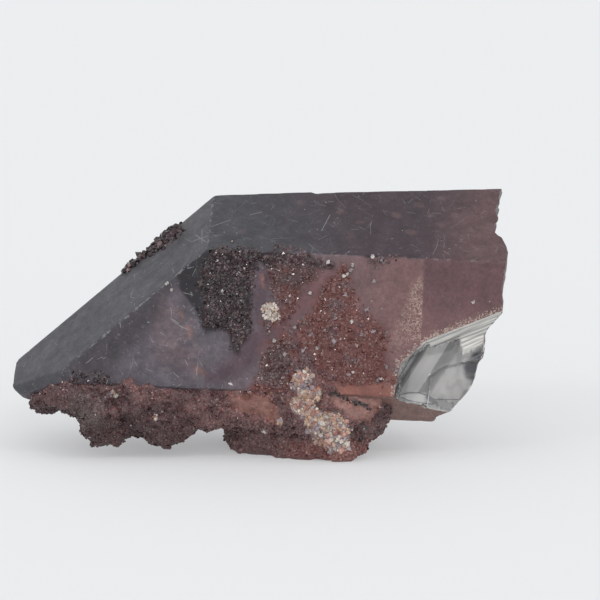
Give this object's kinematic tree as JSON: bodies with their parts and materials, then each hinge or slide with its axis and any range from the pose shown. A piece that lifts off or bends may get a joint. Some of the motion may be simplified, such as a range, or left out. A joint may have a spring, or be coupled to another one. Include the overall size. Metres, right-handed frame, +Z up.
{
  "type": "quartz druse with one large crystal",
  "caption": "Stout smoky quartz crystal with a sloping tip and a chipped, broken end, lying on a lumpy crust of tiny reddish crystals with a flat foot.",
  "frame": {"origin": "on the ground under the middle of the specimen's box", "axes": "+X along the specimen towards the broken end of the large crystal, -Y towards its front face, +Z up"},
  "size_m": [0.05, 0.0202, 0.0263],
  "materials": {
    "quartz": "gloss",
    "druse": "satin"
  },
  "bodies": {
    "root": {"quartz_crystal": "quartz", "druse_base": "druse"}
  },
  "joints": []
}
